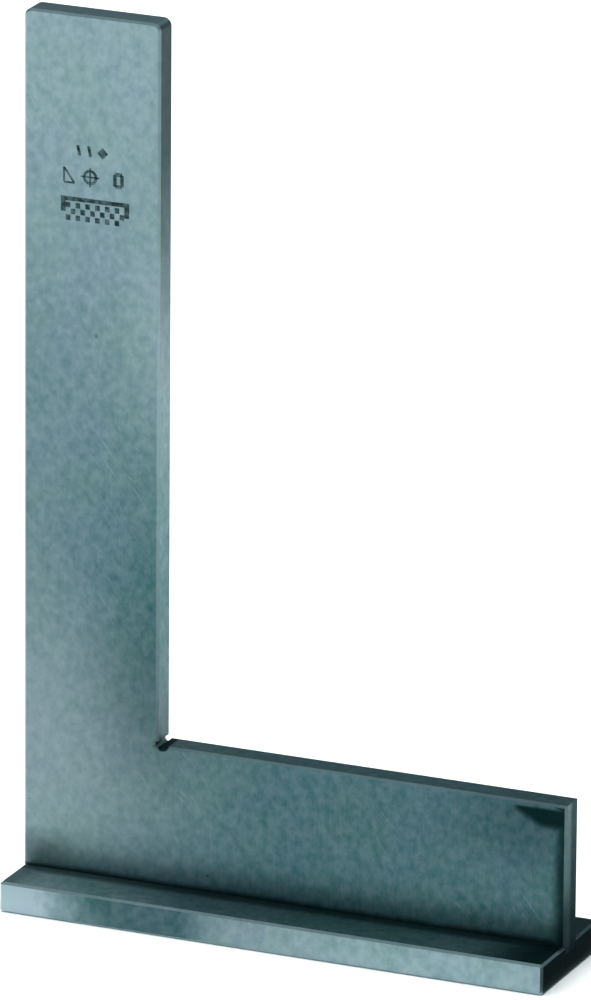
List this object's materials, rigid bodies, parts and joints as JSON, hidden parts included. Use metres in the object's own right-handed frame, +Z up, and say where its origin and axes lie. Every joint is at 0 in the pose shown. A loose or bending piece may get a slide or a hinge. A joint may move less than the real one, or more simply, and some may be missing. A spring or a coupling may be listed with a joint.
{
  "type": "machinist square",
  "caption": "Right-angle workshop square: L-shaped ground steel blade standing on edge on a wide flat base bar, for marking out and testing squareness.",
  "frame": {"origin": "centre of the base's underside, the face that the square stands on", "axes": "+X along the base from the heel, under the tall leg, to the toe; +Y across the base, away from the blade's marked face; +Z up the tall leg"},
  "size_m": [0.1, 0.025, 0.1575],
  "materials": {
    "blade_steel": "ground, satin, blue-grey",
    "base_steel": "ground, satin, blue-grey, with dark patches",
    "screw_steel": "black oxide, satin",
    "pin_steel": "ground, bright"
  },
  "bodies": {
    "root": {"blade": "blade_steel", "base": "base_steel", "base_screw_1": "screw_steel", "base_screw_2": "screw_steel", "base_screw_3": "screw_steel", "base_screw_4": "screw_steel", "dowel_pin_1": "pin_steel", "dowel_pin_2": "pin_steel"}
  },
  "joints": []
}
